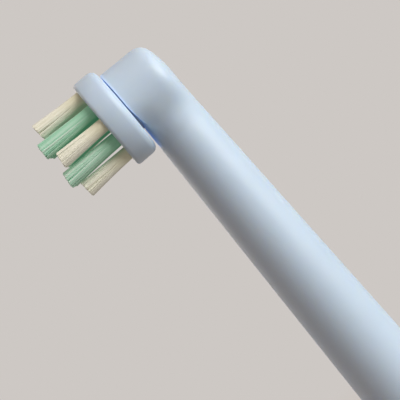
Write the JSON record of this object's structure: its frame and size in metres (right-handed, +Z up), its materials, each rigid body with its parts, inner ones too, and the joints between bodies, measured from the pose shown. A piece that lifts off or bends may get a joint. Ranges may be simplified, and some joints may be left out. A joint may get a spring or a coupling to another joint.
{
  "type": "electric toothbrush head",
  "caption": "Round oscillating brush head on a tapered hollow neck: coloured bristle tufts on a swinging disc, driven by a crank shaft, with a keyed socket in the base.",
  "frame": {"origin": "centre of the handle socket's mouth, on the base rim that the head stands on", "axes": "+Z up the neck to the brush disc, -Y the way the bristles point, +X across the disc"},
  "size_m": [0.0122, 0.0205, 0.0811],
  "materials": {
    "neck_plastic": "satin moulded",
    "disc_plastic": "satin moulded",
    "white_nylon": "fine filaments",
    "green_nylon": "fine filaments",
    "anchor_brass": "stamped strip",
    "pin_steel": "drawn wire",
    "bearing_plastic": "moulded"
  },
  "bodies": {
    "housing": {"neck_housing": "neck_plastic", "base_insert": "bearing_plastic", "guide_bush": "bearing_plastic", "axle_pin": "pin_steel", "stop_pin": "pin_steel"},
    "drive": {"drive_shaft": "pin_steel", "drive_coupling": "bearing_plastic"},
    "brush": {"bristle_carrier": "disc_plastic", "tuft_anchors": "anchor_brass", "white_tuft_1": "white_nylon", "white_tuft_2": "white_nylon", "white_tuft_3": "white_nylon", "white_tuft_4": "white_nylon", "white_tuft_5": "white_nylon", "white_tuft_6": "white_nylon", "white_tuft_7": "white_nylon", "white_tuft_8": "white_nylon", "green_tuft_1": "green_nylon", "green_tuft_2": "green_nylon", "green_tuft_3": "green_nylon", "green_tuft_4": "green_nylon", "green_tuft_5": "green_nylon", "green_tuft_6": "green_nylon", "green_tuft_7": "green_nylon", "green_tuft_8": "green_nylon", "green_tuft_9": "green_nylon", "green_tuft_10": "green_nylon", "green_tuft_11": "green_nylon"}
  },
  "joints": [
    {"name": "shaft_swing", "type": "hinge", "parent": "housing", "child": "drive", "pos_m": [0, 0, 0.05], "axis": [0, 0, 1], "range_deg": [-26.5, 26.5]},
    {"name": "brush_swing", "type": "hinge", "parent": "housing", "child": "brush", "pos_m": [0, -0.004, 0.075], "axis": [0, -1, 0], "range_deg": [-22.5, 22.5]}
  ],
  "couplings": [
    {"joint": "brush_swing", "follows": "shaft_swing", "ratio": 0.845}
  ]
}
